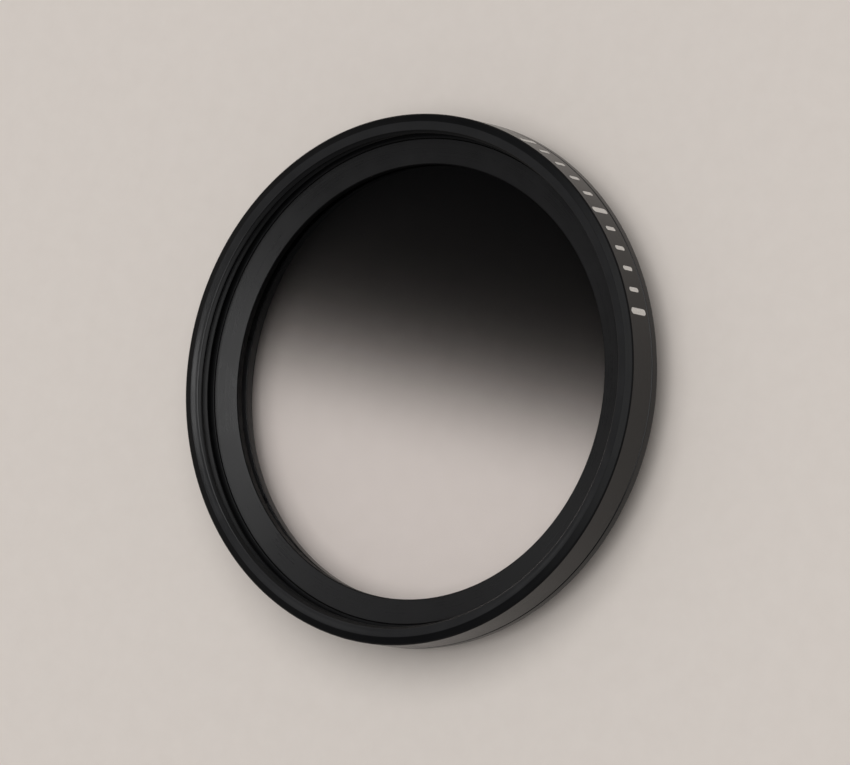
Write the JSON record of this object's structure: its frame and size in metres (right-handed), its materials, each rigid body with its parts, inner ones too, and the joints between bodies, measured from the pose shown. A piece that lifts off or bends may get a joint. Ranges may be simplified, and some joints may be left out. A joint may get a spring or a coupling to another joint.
{
  "type": "graduated neutral density filter",
  "caption": "Round screw-in camera lens filter: a thin black ring with a male and a female thread holds a glass disc whose upper half is dark and fades to clear.",
  "frame": {"origin": "centre of the ring's rear end, where the male thread starts", "axes": "+Z is the optical axis, towards the front face with the female thread; +Y points to the dark half of the glass; X runs along the line where the density fades"},
  "size_m": [0.039, 0.039, 0.0058],
  "materials": {
    "ring_anodised": "satin black anodised, fine turned texture",
    "retainer_anodised": "matt black anodised, fine turned rings on its face",
    "glass_graduated": "polished coated glass, neutral dark half towards +Y that fades to clear across the middle"
  },
  "bodies": {
    "root": {"frame_ring": "ring_anodised", "retaining_ring": "retainer_anodised", "graduated_glass": "glass_graduated"}
  },
  "joints": []
}
